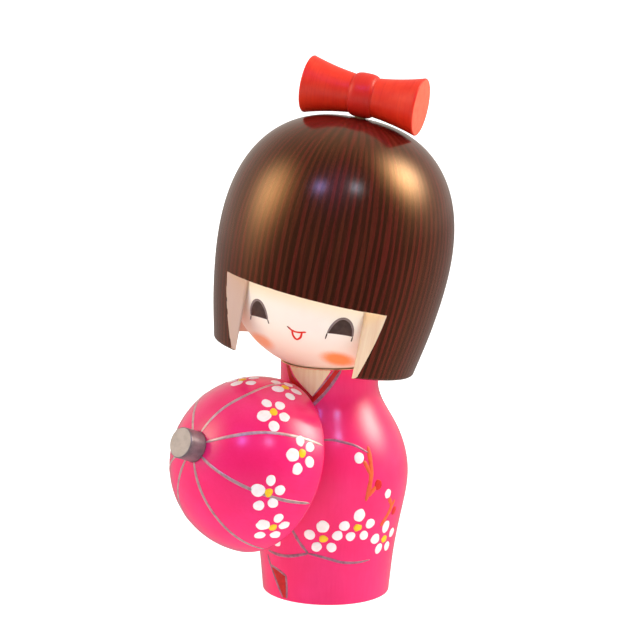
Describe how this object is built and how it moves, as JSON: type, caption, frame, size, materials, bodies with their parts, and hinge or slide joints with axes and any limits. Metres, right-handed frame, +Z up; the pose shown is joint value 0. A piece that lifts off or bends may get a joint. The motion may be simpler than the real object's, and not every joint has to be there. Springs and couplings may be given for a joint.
{
  "type": "kokeshi doll",
  "caption": "Turned wooden doll with a leaning bell-haired head that turns on a neck dowel, a spool bow on the crown and a bowl-shaped parasol held in front of the robe.",
  "frame": {"origin": "centre of the flat foot, on the surface the doll stands on", "axes": "+Z up along the body's turning axis, -Y the way the robe's chest faces, -X the doll's right hand (the parasol's side)"},
  "size_m": [0.0699, 0.0802, 0.1487],
  "materials": {
    "robe_lacquer": "satin gloss lacquer over hot pink paint",
    "bare_wood": "pale unfinished maple",
    "face_paint": "cream satin paint over pale wood",
    "hair_lacquer": "glossy clear lacquer over dark striped stain",
    "bow_paint": "satin red paint",
    "silver_paint": "satin silver-grey paint"
  },
  "bodies": {
    "doll_body": {"body": "robe_lacquer", "neck_dowel": "bare_wood", "parasol_canopy": "robe_lacquer", "parasol_ferrule": "silver_paint", "parasol_handle": "bare_wood"},
    "head": {"face_block": "face_paint", "hair_bell": "hair_lacquer", "bow": "bow_paint", "bow_peg": "bare_wood"}
  },
  "joints": [
    {"name": "head_turn", "type": "hinge", "parent": "doll_body", "child": "head", "pos_m": [0, 0, 0.0622], "axis": [0, 0, 1], "range_deg": [-80, 130]}
  ]
}
